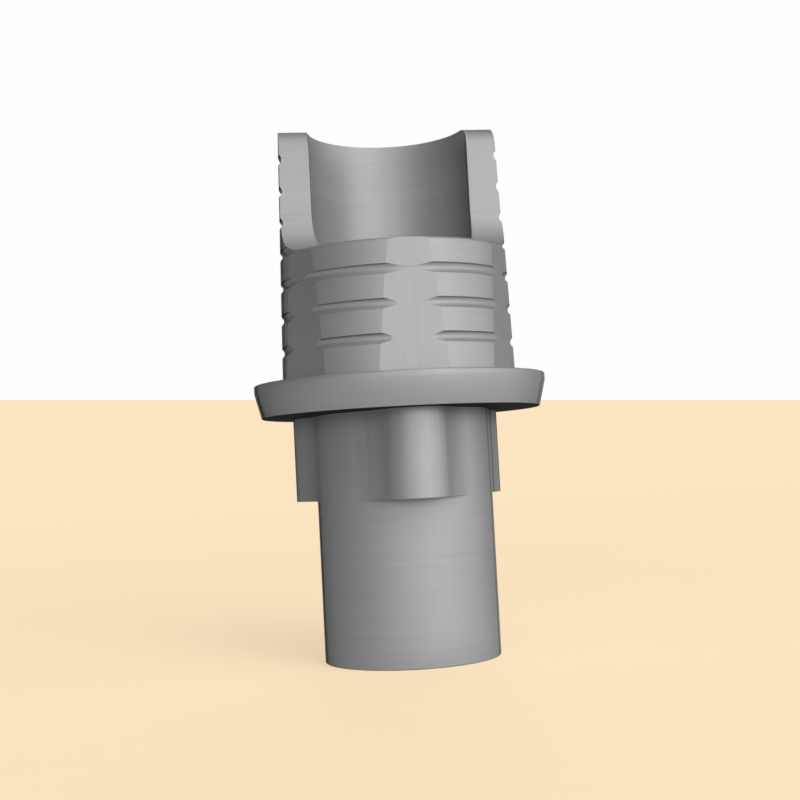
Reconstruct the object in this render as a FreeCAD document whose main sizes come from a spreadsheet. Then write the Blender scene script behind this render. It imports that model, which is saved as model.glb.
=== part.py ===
import FreeCAD, Part
import math
import os
import Sketcher

# Titanium base: a one-piece dental implant abutment for a bonded crown.
#
# The axis of the part is Z. The origin is the centre of the lower end face, on which the part stands.
# From the bottom up it has a plain guide tube, three anti-rotation lobes, a flared collar and a tapered
# chimney with ring grooves and six flats. The front of the chimney, toward -Y, is milled away above a
# floor, so that a screwdriver can come in at an angle. One lobe and one flat face the front as well.
# All sizes are in millimetres.

SIZES = [
    ("tube_diameter", 2.725, "outside diameter of the guide tube below the lobes"),
    ("tube_length", 2.48, "lower end face to the start of the lobes"),
    ("lobe_count", 3, "anti-rotation lobes round the tube"),
    ("lobe_height", 1.31, "start of the lobes to the underside of the collar"),
    ("lobe_tip_radius", 1.83, "axis to the nose of a lobe"),
    ("lobe_nose_radius", 0.50, "rounding of the nose of a lobe"),
    ("lobe_root_radius", 1.57, "hollow between a lobe and the tube"),
    ("collar_bottom_diameter", 4.34, "platform that sits on the implant"),
    ("collar_top_diameter", 4.54, "widest part, where the crown ends"),
    ("collar_height", 0.51, "underside to top face of the collar"),
    ("collar_land_height", 0.115, "straight band at the top of the collar"),
    ("chimney_height", 4.04, "collar top face to the top of the chimney"),
    ("chimney_base_diameter", 3.64, "chimney where it meets the collar"),
    ("chimney_top_diameter", 3.435, "chimney at its top"),
    ("groove_count", 7, "ring grooves that key the cement"),
    ("first_groove_height", 0.50, "collar top face to the middle of the first groove"),
    ("groove_pitch", 0.505, "middle to middle of two grooves"),
    ("groove_depth", 0.042, "depth of a groove in the taper"),
    ("groove_radius", 0.095, "rounding of the groove's section"),
    ("flat_count", 6, "flats round the chimney"),
    ("across_flats", 3.492, "distance between two opposite flats"),
    ("slot_floor_height", 1.96, "collar top face to the floor of the front slot"),
    ("slot_face_offset", 0.12, "axis to the upright face of the slot, toward the front"),
    ("slot_corner_radius", 0.80, "hollow between the slot's upright face and its floor"),
    ("slot_lip_radius", 0.40, "rounding from the slot's upright face to the top"),
    ("driver_bore_diameter", 2.53, "bore for the screw head and the driver"),
    ("seat_depth", 0.35, "collar top face down to the upper edge of the screw seat"),
    ("seat_half_angle", 45, "slope of the conical screw seat, from the axis"),
    ("screw_hole_diameter", 2.05, "clearance hole for the shank of the screw"),
    ("edge_break", 0.02, "small rounding of the turned outer edges"),
]

# Radii and heights that several features share, as expressions on the sheet of sizes.
TUBE_RADIUS = "Sizes.tube_diameter / 2"
LOBE_CENTRE_RADIUS = "(Sizes.lobe_tip_radius - Sizes.lobe_nose_radius)"
COLLAR_BOTTOM_RADIUS = "Sizes.collar_bottom_diameter / 2"
COLLAR_TOP_RADIUS = "Sizes.collar_top_diameter / 2"
CHIMNEY_BASE_RADIUS = "Sizes.chimney_base_diameter / 2"
CHIMNEY_TOP_RADIUS = "Sizes.chimney_top_diameter / 2"
DRIVER_BORE_RADIUS = "Sizes.driver_bore_diameter / 2"
SCREW_HOLE_RADIUS = "Sizes.screw_hole_diameter / 2"
COLLAR_BOTTOM = "(Sizes.tube_length + Sizes.lobe_height)"
COLLAR_TOP = f"({COLLAR_BOTTOM} + Sizes.collar_height)"
LAND_BOTTOM = f"({COLLAR_TOP} - Sizes.collar_land_height)"
CHIMNEY_TOP = f"({COLLAR_TOP} + Sizes.chimney_height)"
SLOT_FLOOR = f"({COLLAR_TOP} + Sizes.slot_floor_height)"
SEAT_TOP = f"({COLLAR_TOP} - Sizes.seat_depth)"
SEAT_RUN = f"({DRIVER_BORE_RADIUS} - {SCREW_HOLE_RADIUS})"
SEAT_BOTTOM = f"({SEAT_TOP} - {SEAT_RUN} / tan(Sizes.seat_half_angle * 1 deg))"
CLEAR_OF_PART = "Sizes.collar_top_diameter"

# The numbers by which a sketch knows the points of its lines and arcs, its own axes and its origin.
START, END, CENTRE = range(1, 4)
HORIZONTAL_AXIS, VERTICAL_AXIS = range(-1, -3, -1)
ORIGIN = (HORIZONTAL_AXIS, START)

# Lengths that differ by less than this are the same, and so are volumes.
NEGLIGIBLE = 1e-6

doc = FreeCAD.newDocument("DentalAbutment")


def add_sizes():
    sheet = doc.addObject("Spreadsheet::Sheet", "Sizes")
    for row, (alias, size, meaning) in enumerate(SIZES, start=1):
        sheet.set(f"A{row}", alias)
        sheet.set(f"B{row}", str(size))
        sheet.set(f"C{row}", meaning)
        sheet.setAlias(f"B{row}", alias)
    doc.recompute()
    return sheet


def value(expression):
    """The number that an expression on the sheet of sizes gives now."""
    return float(sizes.evalExpression(expression))


def plane(body, role):
    return next(feature for feature in body.Origin.OriginFeatures if feature.Role == role)


def add_sketch(body, name, role, height=None):
    """A sketch on one of the body's own origin planes, raised by an expression where one is given."""
    sketch = body.newObject("Sketcher::SketchObject", name)
    sketch.AttachmentSupport = [(plane(body, role), "")]
    sketch.MapMode = "FlatFace"
    if height:
        sketch.setExpression("AttachmentOffset.Base.z", height)
    doc.recompute()
    return sketch


def constrain(sketch, kind, *elements):
    return sketch.addConstraint(Sketcher.Constraint(kind, *elements))


def dimension(sketch, kind, elements, expression):
    """A driving dimension that follows an expression on the sheet of sizes."""
    index = constrain(sketch, kind, *elements, value(expression))
    sketch.setExpression(f"Constraints[{index}]", expression)


def place_point(sketch, geometry, point, across, up):
    """Holds a point at the given distances from the sketch's origin; None leaves the point free."""
    distances = (("DistanceX", across, VERTICAL_AXIS), ("DistanceY", up, HORIZONTAL_AXIS))
    for kind, expression, axis in distances:
        if expression == "0":
            constrain(sketch, "PointOnObject", geometry, point, axis)
        elif expression:
            dimension(sketch, kind, (*ORIGIN, geometry, point), expression)


def add_line(sketch, first, last):
    return sketch.addGeometry(Part.LineSegment(FreeCAD.Vector(*first, 0), FreeCAD.Vector(*last, 0)), False)


def add_outline(sketch, corners):
    """A closed outline of straight lines through corners that are given as pairs of expressions."""
    points = [(value(across), value(up)) for across, up in corners]
    lines = [add_line(sketch, point, points[index - 1]) for index, point in enumerate(points)]
    for index, (across, up) in enumerate(corners):
        constrain(sketch, "Coincident", lines[index - 1], START, lines[index], END)
        place_point(sketch, lines[index], START, across, up)


def add_arc(sketch, centre, radius, first_angle, last_angle):
    """An arc that runs anticlockwise between two angles in radians; gives its number in the sketch."""
    circle = Part.Circle(FreeCAD.Vector(*centre, 0), FreeCAD.Vector(0, 0, 1), radius)
    return sketch.addGeometry(Part.ArcOfCircle(circle, first_angle, last_angle), False)


def add_turning(body, feature_type, name, sketch):
    """A full turn of a sketch about the axis of the part."""
    feature = body.newObject(feature_type, name)
    feature.Profile = sketch
    feature.ReferenceAxis = (sketch, ["V_Axis"])
    feature.Angle = 360
    doc.recompute()
    return feature


def add_ring_pattern(body, name, original, count):
    """Copies of a feature spread evenly round the axis of the part."""
    pattern = body.newObject("PartDesign::PolarPattern", name)
    pattern.Originals = [original]
    pattern.Axis = (plane(body, "Z_Axis"), [""])
    pattern.Angle = 360
    pattern.setExpression("Occurrences", count)
    body.Tip = pattern
    doc.recompute()
    return pattern


def add_turned_blank(body):
    """The turned outside: tube, flared collar with a straight band, and tapered chimney."""
    sketch = add_sketch(body, "TurnedOutline", "XZ_Plane")
    add_outline(sketch, [
        ("0", "0"),
        (TUBE_RADIUS, "0"),
        (TUBE_RADIUS, COLLAR_BOTTOM),
        (COLLAR_BOTTOM_RADIUS, COLLAR_BOTTOM),
        (COLLAR_TOP_RADIUS, LAND_BOTTOM),
        (COLLAR_TOP_RADIUS, COLLAR_TOP),
        (CHIMNEY_BASE_RADIUS, COLLAR_TOP),
        (CHIMNEY_TOP_RADIUS, CHIMNEY_TOP),
        ("0", CHIMNEY_TOP),
    ])
    return add_turning(body, "PartDesign::Revolution", "TurnedBlank", sketch)


def add_lobes(body):
    """A rounded lobe that runs into the tube through two wide hollows, repeated round the tube."""
    sketch = add_sketch(body, "LobeOutline", "XY_Plane", "Sizes.tube_length")
    tube_radius = value(TUBE_RADIUS)
    nose_radius = value("Sizes.lobe_nose_radius")
    root_radius = value("Sizes.lobe_root_radius")
    nose_centre = value(LOBE_CENTRE_RADIUS)

    # The centres of tube, nose and hollow make a triangle whose sides are sums of their radii.
    root_centre = tube_radius + root_radius
    nose_to_root = nose_radius + root_radius
    spread_cosine = (nose_centre**2 + root_centre**2 - nose_to_root**2) / (2 * nose_centre * root_centre)
    spread = math.acos(spread_cosine)
    turn = spread + math.asin(nose_centre * math.sin(spread) / nose_to_root)
    front = -math.pi / 2

    nose = add_arc(sketch, (0, -nose_centre), nose_radius, front - turn, front + turn)
    seam = add_arc(sketch, (0, 0), tube_radius, front - spread, front + spread)
    right_centre = (root_centre * math.sin(spread), -root_centre * math.cos(spread))
    left_centre = (-right_centre[0], right_centre[1])
    right = add_arc(sketch, right_centre, root_radius, front + spread + math.pi, front + turn + math.pi)
    left = add_arc(sketch, left_centre, root_radius, front - turn + math.pi, front - spread + math.pi)

    for first, first_end, second, second_end in (
        (nose, END, right, END),
        (right, START, seam, END),
        (nose, START, left, START),
        (left, END, seam, START),
    ):
        constrain(sketch, "Tangent", first, first_end, second, second_end)
    constrain(sketch, "Coincident", seam, CENTRE, *ORIGIN)
    place_point(sketch, nose, CENTRE, "0", f"-{LOBE_CENTRE_RADIUS}")
    dimension(sketch, "Radius", (nose,), "Sizes.lobe_nose_radius")
    dimension(sketch, "Radius", (seam,), TUBE_RADIUS)
    dimension(sketch, "Radius", (right,), "Sizes.lobe_root_radius")
    dimension(sketch, "Radius", (left,), "Sizes.lobe_root_radius")

    lobe = body.newObject("PartDesign::Pad", "Lobe")
    lobe.Profile = sketch
    lobe.setExpression("Length", "Sizes.lobe_height")
    doc.recompute()
    return add_ring_pattern(body, "Lobes", lobe, "Sizes.lobe_count")


def add_ring_grooves(body):
    """Shallow round grooves about the chimney, all equally deep in its taper."""
    sketch = add_sketch(body, "GrooveSections", "XZ_Plane")
    slope = f"(({CHIMNEY_TOP_RADIUS} - {CHIMNEY_BASE_RADIUS}) / Sizes.chimney_height)"
    for index in range(int(value("Sizes.groove_count"))):
        height = f"(Sizes.first_groove_height + {index} * Sizes.groove_pitch)"
        surface = f"({CHIMNEY_BASE_RADIUS} + {slope} * {height})"
        across = f"{surface} - Sizes.groove_depth + Sizes.groove_radius"
        up = f"{COLLAR_TOP} + {height}"
        centre = FreeCAD.Vector(value(across), value(up), 0)
        circle = Part.Circle(centre, FreeCAD.Vector(0, 0, 1), value("Sizes.groove_radius"))
        section = sketch.addGeometry(circle, False)
        place_point(sketch, section, CENTRE, across, up)
        dimension(sketch, "Radius", (section,), "Sizes.groove_radius")
    return add_turning(body, "PartDesign::Groove", "RingGrooves", sketch)


def add_flats(body):
    """Flats parallel to the axis, so that they narrow upward and run out where the taper meets them."""
    sketch = add_sketch(body, "FlatOutline", "XY_Plane", COLLAR_TOP)
    add_outline(sketch, [
        ("-" + CLEAR_OF_PART, "-Sizes.across_flats / 2"),
        ("-" + CLEAR_OF_PART, "-" + CLEAR_OF_PART),
        (CLEAR_OF_PART, "-" + CLEAR_OF_PART),
        (CLEAR_OF_PART, "-Sizes.across_flats / 2"),
    ])
    flat = body.newObject("PartDesign::Pocket", "Flat")
    flat.Profile = sketch
    flat.Reversed = True
    flat.setExpression("Length", "Sizes.chimney_height")
    doc.recompute()
    return add_ring_pattern(body, "Flats", flat, "Sizes.flat_count")


def add_front_slot(body):
    """The milled front: an upright face by the axis, a hollow down to the floor and a rounded lip."""
    sketch = add_sketch(body, "SlotOutline", "YZ_Plane")
    face = -value("Sizes.slot_face_offset")
    floor = value(SLOT_FLOOR)
    top = value(CHIMNEY_TOP)
    corner = value("Sizes.slot_corner_radius")
    lip = value("Sizes.slot_lip_radius")
    outside = -value(CLEAR_OF_PART)

    lip_arc = add_arc(sketch, (face + lip, top - lip), lip, math.pi / 2, math.pi)
    upright = add_line(sketch, (face, top - lip), (face, floor + corner))
    corner_arc = add_arc(sketch, (face - corner, floor + corner), corner, -math.pi / 2, 0)
    bottom = add_line(sketch, (face - corner, floor), (outside, floor))
    front = add_line(sketch, (outside, floor), (outside, top))
    cover = add_line(sketch, (outside, top), (face + lip, top))

    for first, first_end, second, second_end in (
        (lip_arc, END, upright, START),
        (upright, END, corner_arc, END),
        (corner_arc, START, bottom, START),
        (cover, END, lip_arc, START),
    ):
        constrain(sketch, "Tangent", first, first_end, second, second_end)
    constrain(sketch, "Coincident", bottom, END, front, START)
    constrain(sketch, "Coincident", front, END, cover, START)
    constrain(sketch, "Vertical", upright)
    constrain(sketch, "Horizontal", bottom)
    constrain(sketch, "Horizontal", cover)
    place_point(sketch, upright, START, "-Sizes.slot_face_offset", None)
    place_point(sketch, front, START, "-" + CLEAR_OF_PART, SLOT_FLOOR)
    place_point(sketch, front, END, "-" + CLEAR_OF_PART, CHIMNEY_TOP)
    dimension(sketch, "Radius", (lip_arc,), "Sizes.slot_lip_radius")
    dimension(sketch, "Radius", (corner_arc,), "Sizes.slot_corner_radius")

    slot = body.newObject("PartDesign::Pocket", "FrontSlot")
    slot.Profile = sketch
    slot.SideType = "Symmetric"
    slot.setExpression("Length", CLEAR_OF_PART)
    doc.recompute()
    return slot


def add_screw_channel(body):
    """The bore for head and driver, the conical screw seat and the clearance hole through the tube."""
    sketch = add_sketch(body, "ChannelOutline", "XZ_Plane")
    add_outline(sketch, [
        ("0", "0"),
        (SCREW_HOLE_RADIUS, "0"),
        (SCREW_HOLE_RADIUS, SEAT_BOTTOM),
        (DRIVER_BORE_RADIUS, SEAT_TOP),
        (DRIVER_BORE_RADIUS, CHIMNEY_TOP),
        ("0", CHIMNEY_TOP),
    ])
    return add_turning(body, "PartDesign::Groove", "ScrewChannel", sketch)


def round_turned_edges(body):
    """A small rounding of the lower end and of both rims of the collar."""
    blank = body.Tip
    circles = ((TUBE_RADIUS, "0"), (COLLAR_BOTTOM_RADIUS, COLLAR_BOTTOM), (COLLAR_TOP_RADIUS, COLLAR_TOP))
    names = []
    for number, edge in enumerate(blank.Shape.Edges, start=1):
        if not isinstance(edge.Curve, Part.Circle):
            continue
        for radius, height in circles:
            off_radius = abs(edge.Curve.Radius - value(radius))
            off_height = abs(edge.Curve.Center.z - value(height))
            if max(off_radius, off_height) < NEGLIGIBLE:
                names.append(f"Edge{number}")
    rounding = body.newObject("PartDesign::Fillet", "EdgeRounding")
    rounding.Base = (blank, names)
    rounding.setExpression("Radius", "Sizes.edge_break")
    doc.recompute()
    return rounding


def check(body):
    """Stops with a plain message where an object failed or the body isn't one sound solid."""
    for item in doc.Objects:
        if "Invalid" in item.State or "Error" in item.State:
            raise RuntimeError(f"{item.Label} failed: {item.State}")
    shape = body.Shape
    if shape.isNull() or not shape.isValid() or len(shape.Solids) != 1:
        raise RuntimeError(f"{body.Label} isn't one valid solid")


def check_change(feature, grows):
    """A feature that points away from the part would leave its volume as it was."""
    change = feature.Shape.Volume - feature.BaseFeature.Shape.Volume
    if abs(change) < NEGLIGIBLE or (change > 0) != grows:
        raise RuntimeError(f"{feature.Label} changed the volume by {change:.4f} cubic millimetres")


sizes = add_sizes()
titanium_base = doc.addObject("PartDesign::Body", "titanium_base")
titanium_base.Label = "titanium_base"

add_turned_blank(titanium_base)
check_change(add_lobes(titanium_base), grows=True)
check_change(add_ring_grooves(titanium_base), grows=False)
check_change(add_flats(titanium_base), grows=False)
check_change(add_front_slot(titanium_base), grows=False)
check_change(add_screw_channel(titanium_base), grows=False)
check_change(round_turned_edges(titanium_base), grows=False)
check(titanium_base)

os.makedirs("parts", exist_ok=True)
titanium_base.Shape.exportStep(f"parts/{titanium_base.Label}.step")
print(f"{titanium_base.Label}: {titanium_base.Shape.Volume:.3f} cubic millimetres")
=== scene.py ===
"""The looks of a dental abutment: its finely divided form, its machined titanium, the studio and the camera."""

from math import acos, asin, atan2, cos, hypot, pi, radians, sin, sqrt

import bmesh
import bpy
from mathutils import Matrix, Vector


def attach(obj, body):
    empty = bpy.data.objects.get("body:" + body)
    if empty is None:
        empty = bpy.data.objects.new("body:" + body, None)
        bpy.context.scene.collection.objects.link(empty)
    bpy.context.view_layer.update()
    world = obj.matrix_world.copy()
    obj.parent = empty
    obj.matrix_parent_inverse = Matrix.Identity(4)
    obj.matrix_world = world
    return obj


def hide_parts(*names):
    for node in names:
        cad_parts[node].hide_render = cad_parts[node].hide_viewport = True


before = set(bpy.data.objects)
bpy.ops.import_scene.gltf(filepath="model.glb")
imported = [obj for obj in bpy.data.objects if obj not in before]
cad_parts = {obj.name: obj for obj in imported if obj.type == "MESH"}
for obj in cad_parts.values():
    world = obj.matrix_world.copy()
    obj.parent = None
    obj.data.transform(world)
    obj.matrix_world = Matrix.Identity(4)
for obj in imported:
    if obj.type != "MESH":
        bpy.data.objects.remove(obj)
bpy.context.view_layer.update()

# Lengths in millimetres; the mesh is scaled to metres as it is made.
MM = 0.001
TUBE_RADIUS = 1.3625
TUBE_TOP = 2.48
LOBE_TIP_RADIUS = 1.83
LOBE_NOSE_RADIUS = 0.50
LOBE_ROOT_RADIUS = 1.57
COLLAR_BOTTOM = 3.79
COLLAR_BOTTOM_RADIUS = 2.17
COLLAR_RADIUS = 2.27
LAND_BOTTOM = 4.185
COLLAR_TOP = 4.30
CHIMNEY_BASE_RADIUS = 1.82
CHIMNEY_TOP_RADIUS = 1.7175
CHIMNEY_TOP = 8.34
GROOVE_COUNT = 7
FIRST_GROOVE = 0.50
GROOVE_PITCH = 0.505
GROOVE_DEPTH = 0.037
GROOVE_RADIUS = 0.101
FLAT_DISTANCE = 1.746
SLOT_FLOOR = 6.26
SLOT_FACE = -0.12
SLOT_CORNER_RADIUS = 0.80
SLOT_LIP_RADIUS = 0.40
CUTTER_REACH = 3
CUTTER_TOP = 9
BORE_RADIUS = 1.265
SEAT_TOP = 3.95
SEAT_BOTTOM = 3.71
SCREW_HOLE_RADIUS = 1.025
EDGE_BREAK = 0.02

# Divisions of the mesh. The columns of a ring are shared out between six flats and six arcs, and among three lobes.
LOBES = 3
FLATS = 6
FLAT_COLUMNS = 4
ARC_COLUMNS = 40
COLUMNS = FLATS * (FLAT_COLUMNS + ARC_COLUMNS)
NOSE_COLUMNS = 32
HOLLOW_COLUMNS = 18
TUBE_COLUMNS = COLUMNS // LOBES - NOSE_COLUMNS - 2 * HOLLOW_COLUMNS
TUBE_STEPS = 5
LOBE_STEPS = 3
GROOVE_STEPS = 12
LAND_STEPS = 8
BREAK_STEPS = 4
SLOT_STEPS = 40
FRONT = -pi / 2

# Points of the rings closer than a millionth of a millimetre are one. An edge sharper than this angle stays crisp.
POINTS_PER_MM = 1e6
SHARP_ANGLE = radians(26)

# Slots of the mesh's materials.
TURNED, MILLED, SLOTTED = range(3)


def spread(first, last, steps):
    """Evenly spaced numbers from first, with last left out."""
    return [first + (last - first) * k / steps for k in range(steps)]


def circle(radius, height, angles=None):
    angles = angles or spread(FRONT, FRONT + 2 * pi, COLUMNS)
    return [(radius * cos(a), radius * sin(a), height) for a in angles]


def lobed_outline():
    """Points round the three lobes, the hollows beside them and the tube between them, from the front nose on."""
    nose_centre = LOBE_TIP_RADIUS - LOBE_NOSE_RADIUS
    root_centre = TUBE_RADIUS + LOBE_ROOT_RADIUS
    reach = LOBE_NOSE_RADIUS + LOBE_ROOT_RADIUS
    aside = acos((nose_centre**2 + root_centre**2 - reach**2) / (2 * nose_centre * root_centre))
    turn = aside + asin(nose_centre * sin(aside) / reach)
    half = []
    for a in spread(0, turn, NOSE_COLUMNS // 2):
        half.append((nose_centre + LOBE_NOSE_RADIUS * cos(a), LOBE_NOSE_RADIUS * sin(a)))
    for a in spread(turn + pi, aside + pi, HOLLOW_COLUMNS):
        x = root_centre * cos(aside) + LOBE_ROOT_RADIUS * cos(a)
        half.append((x, root_centre * sin(aside) + LOBE_ROOT_RADIUS * sin(a)))
    for a in spread(aside, pi / LOBES, TUBE_COLUMNS // 2) + [pi / LOBES]:
        half.append((TUBE_RADIUS * cos(a), TUBE_RADIUS * sin(a)))
    mirrored = Matrix.Rotation(2 * pi / LOBES, 2) @ Matrix(((1, 0), (0, -1)))
    other = [tuple(mirrored @ Vector(p)) for p in half[-2:0:-1]]
    outline = []
    for lobe in range(LOBES):
        turned = Matrix.Rotation(FRONT + lobe * 2 * pi / LOBES, 2)
        outline += [tuple(turned @ Vector(p)) for p in half + other]
    return outline


def chimney_ring(radius, height):
    """A ring of the tapered chimney, cut off straight at the flats where it is wider than they are."""
    half_angle = acos(min(1, FLAT_DISTANCE / radius))
    half_width = FLAT_DISTANCE * sin(half_angle) / cos(half_angle)
    ring = []
    for flat in range(FLATS):
        middle = FRONT + flat * 2 * pi / FLATS
        following = middle + 2 * pi / FLATS
        for across in spread(0, half_width, FLAT_COLUMNS // 2):
            ring.append((min(radius, FLAT_DISTANCE), across, middle))
        for angle in spread(half_angle, 2 * pi / FLATS - half_angle, ARC_COLUMNS):
            ring.append((radius * cos(angle), radius * sin(angle), middle))
        for across in spread(half_width, 0, FLAT_COLUMNS // 2):
            ring.append((min(radius, FLAT_DISTANCE), -across, following))
    return [(x * cos(a) - y * sin(a), x * sin(a) + y * cos(a), height) for x, y, a in ring]


def rounded(before, corner, after, radius=EDGE_BREAK):
    """The small arc that breaks a corner of a profile, as points from the one side to the other."""
    corner = Vector(corner)
    back = (Vector(before) - corner).normalized()
    on = (Vector(after) - corner).normalized()
    half = back.angle(on) / 2
    centre = corner + (back + on).normalized() * radius / sin(half)
    start = (corner + back * radius * cos(half) / sin(half) - centre).normalized()
    end = (corner + on * radius * cos(half) / sin(half) - centre).normalized()
    points = []
    for k in range(BREAK_STEPS + 1):
        points.append(tuple(centre + start.slerp(end, k / BREAK_STEPS) * radius))
    return points


def chimney_profile():
    """The taper and its ring grooves from the collar upward, with a point wherever a flat runs out."""
    slope = (CHIMNEY_TOP_RADIUS - CHIMNEY_BASE_RADIUS) / (CHIMNEY_TOP - COLLAR_TOP)
    along = Vector((slope, 1)).normalized()
    points = [(CHIMNEY_BASE_RADIUS, COLLAR_TOP)]

    def add_land(end):
        start = points[-1]
        for k in range(1, LAND_STEPS + 1):
            t = k / LAND_STEPS
            points.append((start[0] + (end[0] - start[0]) * t, start[1] + (end[1] - start[1]) * t))

    for groove in range(GROOVE_COUNT):
        height = FIRST_GROOVE + groove * GROOVE_PITCH
        on_taper = Vector((CHIMNEY_BASE_RADIUS + slope * height, COLLAR_TOP + height))
        centre = on_taper + Vector((GROOVE_RADIUS - GROOVE_DEPTH, 0))
        foot = on_taper + along * along.dot(centre - on_taper)
        half_chord = sqrt(GROOVE_RADIUS**2 - (centre - foot).length_squared)
        lower = foot - along * half_chord - centre
        upper = foot + along * half_chord - centre
        add_land(tuple(centre + lower))
        first = atan2(lower.y, lower.x) % (2 * pi)
        last = atan2(upper.y, upper.x) % (2 * pi)
        for a in spread(first, last, GROOVE_STEPS)[1:] + [last]:
            points.append((centre.x + GROOVE_RADIUS * cos(a), centre.y + GROOVE_RADIUS * sin(a)))
    add_land((CHIMNEY_TOP_RADIUS, CHIMNEY_TOP))

    profile = points[:1]
    for (r0, z0), (r1, z1) in zip(points, points[1:]):
        if (r0 - FLAT_DISTANCE) * (r1 - FLAT_DISTANCE) < 0:
            t = (FLAT_DISTANCE - r0) / (r1 - r0)
            profile.append((FLAT_DISTANCE, z0 + (z1 - z0) * t))
        profile.append((r1, z1))
    return profile


def base_rings():
    """Rings up the outside and down the inside of the part, each with the material of the faces below it."""
    outline = lobed_outline()
    around_tube = [atan2(y, x) for x, y in outline]
    rings = []

    def add(ring, material=TURNED):
        rings.append((ring, material))

    for r, z in rounded((0, 0), (TUBE_RADIUS, 0), (TUBE_RADIUS, TUBE_TOP)):
        add(circle(r, z, around_tube))
    for z in spread(0, TUBE_TOP, TUBE_STEPS)[1:] + [TUBE_TOP]:
        add(circle(TUBE_RADIUS, z, around_tube))
    for z in [TUBE_TOP] + spread(TUBE_TOP, COLLAR_BOTTOM, LOBE_STEPS)[1:] + [COLLAR_BOTTOM]:
        add([(x, y, z) for x, y in outline], MILLED)
    rim = (COLLAR_BOTTOM_RADIUS, COLLAR_BOTTOM)
    for r, z in rounded((0, COLLAR_BOTTOM), rim, (COLLAR_RADIUS, LAND_BOTTOM)):
        add(circle(r, z))
    add(circle(COLLAR_RADIUS, LAND_BOTTOM))
    for r, z in rounded((COLLAR_RADIUS, LAND_BOTTOM), (COLLAR_RADIUS, COLLAR_TOP), (0, COLLAR_TOP)):
        add(circle(r, z))
    for r, z in chimney_profile():
        add(chimney_ring(r, z))
    for r, z in (BORE_RADIUS, CHIMNEY_TOP), (BORE_RADIUS, SEAT_TOP):
        add(circle(r, z))
    for z in SEAT_BOTTOM, 0:
        add(circle(SCREW_HOLE_RADIUS, z))
    add(rings[0][0])
    return rings


def base_mesh():
    """The whole form apart from the front slot, with faces from each ring to the next one."""
    form = bmesh.new()
    known = {}

    def vertex(point):
        key = tuple(round(c * POINTS_PER_MM) for c in point)
        if key not in known:
            known[key] = form.verts.new([c * MM for c in point])
        return known[key]

    rings = base_rings()
    for (lower, _), (upper, material) in zip(rings, rings[1:]):
        for k in range(COLUMNS):
            following = (k + 1) % COLUMNS
            corners = [vertex(p) for p in (lower[k], lower[following], upper[following], upper[k])]
            corners = list(dict.fromkeys(corners))
            if len(corners) > 2:
                form.faces.new(corners).material_index = material
    return form


def slot_cutter():
    """What the milling cutter takes away in front: lip, upright face, hollow and floor, right across the part."""
    lip_height = CHIMNEY_TOP - SLOT_LIP_RADIUS
    profile = []
    for a in spread(pi / 2, pi, SLOT_STEPS // 2) + [pi]:
        y = SLOT_FACE + SLOT_LIP_RADIUS + SLOT_LIP_RADIUS * cos(a)
        profile.append((y, lip_height + SLOT_LIP_RADIUS * sin(a)))
    for a in spread(0, -pi / 2, SLOT_STEPS) + [-pi / 2]:
        y = SLOT_FACE - SLOT_CORNER_RADIUS + SLOT_CORNER_RADIUS * cos(a)
        profile.append((y, SLOT_FLOOR + SLOT_CORNER_RADIUS + SLOT_CORNER_RADIUS * sin(a)))
    profile += [(-CUTTER_REACH, SLOT_FLOOR), (-CUTTER_REACH, CUTTER_TOP), (profile[0][0], CUTTER_TOP)]
    cutter = bmesh.new()
    sides = []
    for x in -CUTTER_REACH, CUTTER_REACH:
        sides.append([cutter.verts.new((x * MM, y * MM, z * MM)) for y, z in profile])
    left, right = sides
    cutter.faces.new(left)
    cutter.faces.new(right[::-1])
    for k in range(len(profile)):
        following = (k + 1) % len(profile)
        cutter.faces.new((left[following], left[k], right[k], right[following]))
    bmesh.ops.recalc_face_normals(cutter, faces=cutter.faces)
    for face in cutter.faces:
        face.material_index = SLOTTED
    return cutter


def as_object(name, form, materials=()):
    mesh = bpy.data.meshes.new(name)
    form.to_mesh(mesh)
    form.free()
    for material in materials:
        mesh.materials.append(material)
    piece = bpy.data.objects.new(name, mesh)
    bpy.context.scene.collection.objects.link(piece)
    return piece


def apply_modifiers(piece):
    """Puts the mesh that the modifiers make in the place of the plain one."""
    bpy.context.view_layer.update()
    made = bpy.data.meshes.new_from_object(piece.evaluated_get(bpy.context.evaluated_depsgraph_get()))
    piece.modifiers.clear()
    piece.data = made


def is_flat(face):
    """Whether a face lies in one of the six flats of the chimney, to a ten-thousandth of a millimetre."""
    middle = face.calc_center_median() / MM
    angle = (atan2(middle.y, middle.x) - FRONT + pi / FLATS) % (2 * pi / FLATS) - pi / FLATS
    away = hypot(middle.x, middle.y) * cos(angle)
    return middle.z > COLLAR_TOP and abs(away - FLAT_DISTANCE) < 1e-4 and abs(face.normal.z) < 1e-3


def sharpen(piece):
    """Shades the surfaces smooth and keeps true edges crisp, among them the shallow ones round the flats."""
    form = bmesh.new()
    form.from_mesh(piece.data)
    bmesh.ops.dissolve_degenerate(form, edges=form.edges, dist=1e-5 * MM)
    form.normal_update()
    flats = set()
    for face in form.faces:
        face.smooth = True
        if is_flat(face):
            flats.add(face)
            face.material_index = MILLED
    for edge in form.edges:
        pair = edge.link_faces
        steep = len(pair) == 2 and pair[0].normal.angle(pair[1].normal, 0) > SHARP_ANGLE
        edge.smooth = not (steep or len(flats.intersection(pair)) == 1)
    form.to_mesh(piece.data)
    form.free()


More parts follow.
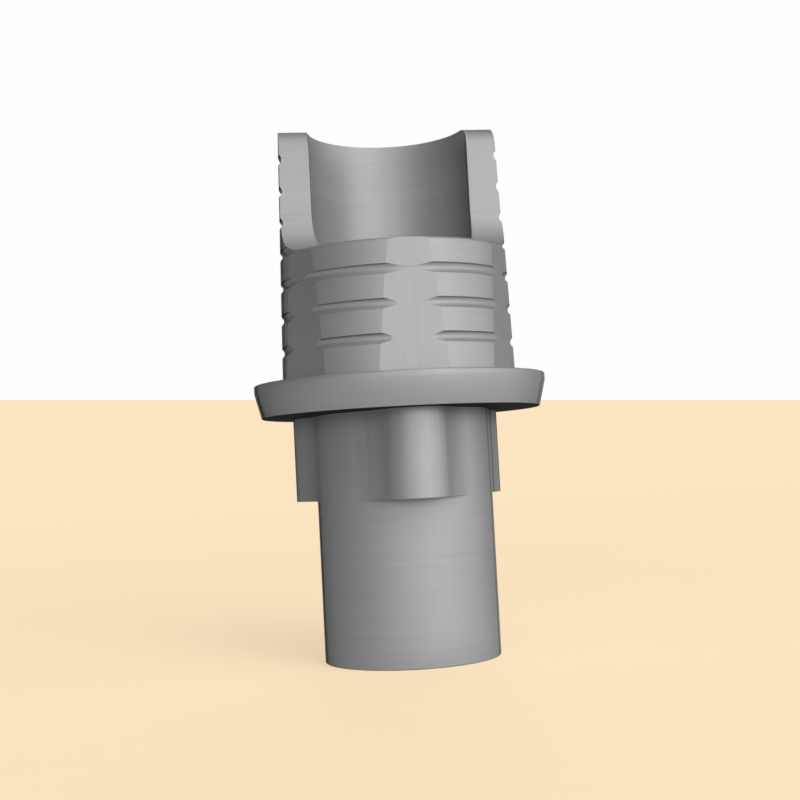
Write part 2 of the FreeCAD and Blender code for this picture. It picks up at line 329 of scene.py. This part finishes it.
titanium = [bpy.data.materials.new(name) for name in ("titanium_turned", "titanium_milled", "titanium_slotted")]
base = as_object("machined_titanium_base", base_mesh(), titanium)
cutter = as_object("slot_cutter", slot_cutter(), titanium)
slot = base.modifiers.new("front_slot", "BOOLEAN")
slot.operation = "DIFFERENCE"
slot.solver = "EXACT"
slot.object = cutter
apply_modifiers(base)
bpy.data.objects.remove(cutter)
sharpen(base)
base.modifiers.new("shading", "WEIGHTED_NORMAL").keep_sharp = True
apply_modifiers(base)
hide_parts("titanium_base")
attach(base, "root")


def node_maker(tree):
    """A function that adds a node to the tree, with each input set to a value or linked to a socket."""
    def node(kind, inputs=(), **settings):
        made = tree.nodes.new("ShaderNode" + kind)
        for name, setting in settings.items():
            setattr(made, name, setting)
        for socket, source in dict(inputs).items():
            if isinstance(source, bpy.types.NodeSocket):
                tree.links.new(source, made.inputs[socket])
            else:
                made.inputs[socket].default_value = source
        return made
    return node


def blank_nodes(owner):
    """Empties the node tree of a material or world and returns the function that adds nodes to it."""
    owner.use_nodes = True
    owner.node_tree.nodes.clear()
    return node_maker(owner.node_tree)


def seen_rays(node):
    """One for what is seen, by itself or in metal and glass, and nothing for light on its way to a matt surface."""
    path = node("LightPath").outputs
    direct = node("Math", {0: path["Is Camera Ray"], 1: path["Is Glossy Ray"]}, operation="MAXIMUM").outputs[0]
    return node("Math", {0: direct, 1: path["Is Transmission Ray"]}, operation="MAXIMUM").outputs[0]


# The metal. It is in part matt, so that the pale floor doesn't take over its shading by reflection.
METALLIC = 0.42

# Scales of the noises, in features a metre: cloudy patches, the cutter's marks and the metal's grain.
PATCH_SCALE = 1100
MARK_SCALE = 14000
GRAIN_SCALE = 42000

# How the noises are stretched into marks, and how far, in relation to its place, a mark wanders off its line.
STRETCH = {"rings": (1, 1, 1), "upright": (1, 1, 0.04), "across": (0.04, 1, 1)}
WANDER = 0.004

# The plain brightness and roughness, and what marks, patches, grain and worn edges add to them.
BRIGHTNESS, MARK_SHADE, PATCH_SHADE, EDGE_SHADE = 0.39, 0.10, 0.04, 0.22
ROUGHNESS, MARK_ROUGHNESS, GRAIN_ROUGHNESS, EDGE_ROUGHNESS = 0.36, 0.14, 0.08, -0.16

# Radius of the soft edges, reach of the painted shade in recesses, and heights of grain and marks, in millimetres.
EDGE_RADIUS = 0.014
RECESS_REACH = 0.6
GRAIN_HEIGHT = 0.0008
MARK_HEIGHT = 0.0020


def finish_titanium(material, marks):
    """Satin machined titanium. The marks of the cutter are fine lines; rings, upright lines or lines across."""
    node = blank_nodes(material)
    place = node("TexCoord").outputs["Object"]

    def add_up(noise, share, rest):
        return node("Math", {0: noise, 1: share, 2: rest}, operation="MULTIPLY_ADD").outputs[0]

    if marks == "rings":
        off_axis = node("VectorMath", {0: place, 1: (1, 1, 0)}, operation="MULTIPLY").outputs[0]
        radius = node("VectorMath", {0: off_axis}, operation="LENGTH").outputs["Value"]
        height = node("SeparateXYZ", {0: place}).outputs["Z"]
        across = node("CombineXYZ", {"X": radius, "Y": height}).outputs[0]
    else:
        across = place

    patches = node("TexNoise", {"Vector": place, "Scale": PATCH_SCALE, "Detail": 3}).outputs["Fac"]
    wander = node("VectorMath", {0: place, "Scale": WANDER}, operation="SCALE").outputs[0]
    along = node("VectorMath", {0: across, 1: wander}, operation="ADD").outputs[0]
    stretched = node("VectorMath", {0: along, 1: STRETCH[marks]}, operation="MULTIPLY").outputs[0]
    lines = {"Vector": stretched, "Scale": MARK_SCALE, "Detail": 2.5, "Roughness": 0.6}
    feed = node("TexNoise", lines).outputs["Fac"]
    grain = node("TexNoise", {"Vector": place, "Scale": GRAIN_SCALE, "Detail": 2}).outputs["Fac"]

    # Edges are worn where the rounded normal turns away from the true one.
    soft_edge = node("Bevel", {"Radius": EDGE_RADIUS * MM}, samples=6).outputs[0]
    true_normal = node("NewGeometry").outputs["Normal"]
    likeness = node("VectorMath", {0: soft_edge, 1: true_normal}, operation="DOT_PRODUCT").outputs["Value"]
    edge = node("MapRange", {"Value": likeness, "From Min": 0.99, "From Max": 0.82}).outputs["Result"]
    worn = node("Math", {0: edge, 1: patches}, operation="MULTIPLY").outputs[0]

    # Painted shade: recesses are a little darker, and faces that look down are much darker.
    open_sky = node("AmbientOcclusion", {"Distance": RECESS_REACH * MM}, samples=8, only_local=True).outputs["AO"]
    recess = {"Value": open_sky, "From Min": 0.35, "From Max": 0.85, "To Min": 0.94, "To Max": 1.0}
    upward = node("SeparateXYZ", {0: true_normal}).outputs["Z"]
    below = {"Value": upward, "From Min": -0.78, "From Max": -0.50, "To Min": 0.16, "To Max": 1.0}
    shades = {k: node("MapRange", span).outputs["Result"] for k, span in enumerate((recess, below))}
    painted_shade = node("Math", shades, operation="MULTIPLY").outputs[0]

    plain = add_up(patches, PATCH_SHADE, add_up(feed, MARK_SHADE, BRIGHTNESS))
    # The grey takes the painted shade of recesses and of faces that look down.
    grey = node("Math", {0: add_up(worn, EDGE_SHADE, plain), 1: painted_shade}, operation="MULTIPLY").outputs[0]
    satin = add_up(grain, GRAIN_ROUGHNESS, add_up(feed, MARK_ROUGHNESS, ROUGHNESS))
    polished = add_up(worn, EDGE_ROUGHNESS, satin)

    fine = {"Strength": 0.5, "Distance": GRAIN_HEIGHT * MM, "Height": grain, "Normal": soft_edge}
    coarse = {"Strength": 0.6, "Distance": MARK_HEIGHT * MM, "Height": feed, "Normal": node("Bump", fine).outputs[0]}
    finish = {"Base Color": grey, "Roughness": polished, "Normal": node("Bump", coarse).outputs[0]}
    finish.update({"Metallic": METALLIC, "Specular IOR Level": 0.0, "Specular Tint": (0.0, 0.0, 0.0, 1)})
    node("OutputMaterial", {"Surface": node("BsdfPrincipled", finish).outputs[0]})


for material, marks in zip(titanium, STRETCH):
    finish_titanium(material, marks)

# The studio: a wide floor, and a wall that is the floor's colour up to a line and white above it.
FLOOR_COLOUR = (1.0, 0.807, 0.546)
WHITE = (1.0, 1.0, 1.0)
LUMINANCE = Vector((0.2126, 0.7152, 0.0722))
FLOOR_REACH = 300
WALL_REACH = 60
WALL_DISTANCE = 90
NEAR_FLOOR = 10
FAR_FLOOR = 50

# The camera's place in millimetres, the directions to its right, above it and ahead, and its view in pixels.
CAMERA = Vector((-2.749, -20.068, 2.868))
RIGHT = Vector((0.98981, -0.13254, -0.05209))
UP = Vector((0.04415, -0.06220, 0.99709))
AHEAD = Vector((0.13539, 0.98923, 0.05572))
FOCAL_LENGTH = 1292.68
PICTURE_WIDTH = 800
SENSOR_WIDTH = 36


def coloured_to_camera(node, colour):
    """The colour as the camera sees it, and for the metal a grey as bright, since the photographed part is grey."""
    grey = Vector(WHITE) * LUMINANCE.dot(colour)
    camera_ray = node("LightPath").outputs["Is Camera Ray"]
    tint = node("VectorMath", {0: Vector(colour) - grey, "Scale": camera_ray}, operation="SCALE").outputs[0]
    return node("VectorMath", {0: tint, 1: grey}, operation="ADD").outputs[0]


def finish_stage(name, colour, glow, matt, bounce, far=None):
    """A pale surface that shows its colour in part by itself and in part by the light and shadow on it.

    Away from the part both shares run over into the far ones, so that the floor meets the wall unseen. Bounce is the
    share of light that it gives back to matt surfaces.
    """
    material = bpy.data.materials.new(name)
    node = blank_nodes(material)
    seen = seen_rays(node)
    hue = coloured_to_camera(node, colour)
    away = node("VectorMath", {0: node("TexCoord").outputs["Object"]}, operation="LENGTH").outputs["Value"]

    def share(near, distant):
        reach = {"Value": away, "From Min": NEAR_FLOOR * MM, "From Max": FAR_FLOOR * MM}
        reach.update({"To Min": near, "To Max": distant})
        return node("MapRange", reach, interpolation_type="SMOOTHSTEP").outputs["Result"]

    far_glow, far_matt = far or (glow, matt)
    own = node("Math", {0: seen, 1: share(glow, far_glow)}, operation="MULTIPLY").outputs[0]
    shown = node("Emission", {"Color": hue, "Strength": own}).outputs[0]
    given = node("MapRange", {"Value": seen, "To Min": bounce, "To Max": share(matt, far_matt)}).outputs["Result"]
    shade = node("VectorMath", {0: hue, "Scale": given}, operation="SCALE").outputs[0]
    lit = node("BsdfDiffuse", {"Color": shade}).outputs[0]
    both = node("AddShader", {0: shown, 1: lit}).outputs[0]
    node("OutputMaterial", {"Surface": both})
    return material


def stage_sheet(name, corners, material):
    form = bmesh.new()
    form.faces.new([form.verts.new([c * MM for c in corner]) for corner in corners])
    sheet = as_object(name, form, [material])
    return sheet


def wall_line(x):
    """The point of the wall at which the camera sees the floor's colour end, level across its picture."""
    height = CAMERA.z - (UP.x * (x - CAMERA.x) + UP.y * (WALL_DISTANCE - CAMERA.y)) / UP.z
    return x, WALL_DISTANCE, height


pale = finish_stage("pale_floor", FLOOR_COLOUR, glow=0.68, matt=0.60, bounce=0.03, far=(0.955, 0.02))
pale_wall = finish_stage("pale_wall", FLOOR_COLOUR, glow=0.96, matt=0.02, bounce=0.02)
white_wall = finish_stage("white_wall", WHITE, glow=0.98, matt=0.02, bounce=0.02)
R, S, W = FLOOR_REACH, WALL_REACH, WALL_DISTANCE
left_end, right_end = wall_line(-S), wall_line(S)
stage_sheet("stage_floor", ((-R, -R, 0), (R, -R, 0), (R, R, 0), (-R, R, 0)), pale)
low_wall = stage_sheet("stage_wall_low", ((-S, W, 0), (S, W, 0), right_end, left_end), pale_wall)
high_wall = stage_sheet("stage_wall_high", (left_end, right_end, (S, W, S), (-S, W, S)), white_wall)

# The lamps behind the wall light the part's back, so the wall lets them through.
low_wall.visible_shadow = high_wall.visible_shadow = False

# Azimuth, elevation and power of the soft round lamps, which are alike in size, distance and the height they aim at.
# Azimuth 0 is in front and 90 to the right. Most of the light comes from the front right, and some from above and
# behind.
LAMP_SIZE = 140
LAMP_DISTANCE = 250
LAMP_AIM = 4
LAMPS = {
    "fill_lamp": (-42, 5, 0.026),
    "front_left_lamp": (-15, 5, 0.100),
    "front_lamp": (8, 5, 0.055),
    "key_lamp": (22, 5, 0.100),
    "key_right_lamp": (38, 5, 0.060),
    "right_lamp": (52, 5, 0.100),
    "side_lamp": (82, 5, 0.080),
    "upper_lamp": (20, 40, 0.120),
    "high_lamp": (20, 62, 0.060),
    "top_lamp": (0, 85, 0.040),
    "back_lamp": (170, 6, 0.300),
    "back_right_lamp": (145, 8, 0.080),
    "back_left_lamp": (-152, 10, 0.045),
}
for name, (azimuth, elevation, power) in LAMPS.items():
    light = bpy.data.lights.new(name, "AREA")
    light.shape = "DISK"
    light.size = LAMP_SIZE * MM
    light.energy = power
    lamp = bpy.data.objects.new(name, light)
    a, e = radians(azimuth), radians(elevation)
    toward = Vector((sin(a) * cos(e), -cos(a) * cos(e), sin(e)))
    lamp.location = (toward * LAMP_DISTANCE + Vector((0, 0, LAMP_AIM))) * MM
    lamp.rotation_euler = toward.to_track_quat("Z", "Y").to_euler()
    lamp.visible_camera = False
    bpy.context.scene.collection.objects.link(lamp)

# The world as it is seen fades from the horizon up to a height, and gives matt surfaces next to no light.
HORIZON, SKY, SKY_HEIGHT = 0.40, 0.15, 0.35
SKY_LIGHT = 0.02

world = bpy.data.worlds.new("studio")
bpy.context.scene.world = world
node = blank_nodes(world)
height = node("SeparateXYZ", {0: node("TexCoord").outputs["Generated"]}).outputs["Z"]
fade = {"Value": height, "From Min": 0.0, "From Max": SKY_HEIGHT, "To Min": HORIZON, "To Max": SKY}
dusk = node("MapRange", fade).outputs["Result"]
strength = node("MapRange", {"Value": seen_rays(node), "To Min": SKY_LIGHT, "To Max": dusk}).outputs["Result"]
backdrop = node("Background", {"Color": (*WHITE, 1), "Strength": strength}).outputs[0]
node("OutputWorld", {"Surface": backdrop})

view = bpy.data.cameras.new("camera")
view.sensor_width = SENSOR_WIDTH
view.lens = SENSOR_WIDTH * FOCAL_LENGTH / PICTURE_WIDTH
view.clip_start = 1 * MM
view.clip_end = 2000 * MM
camera = bpy.data.objects.new("camera", view)
camera.matrix_world = Matrix.Translation(CAMERA * MM) @ Matrix((RIGHT, UP, -AHEAD)).transposed().to_4x4()
bpy.context.scene.collection.objects.link(camera)
bpy.context.scene.camera = camera
bpy.context.scene.view_settings.view_transform = "Standard"
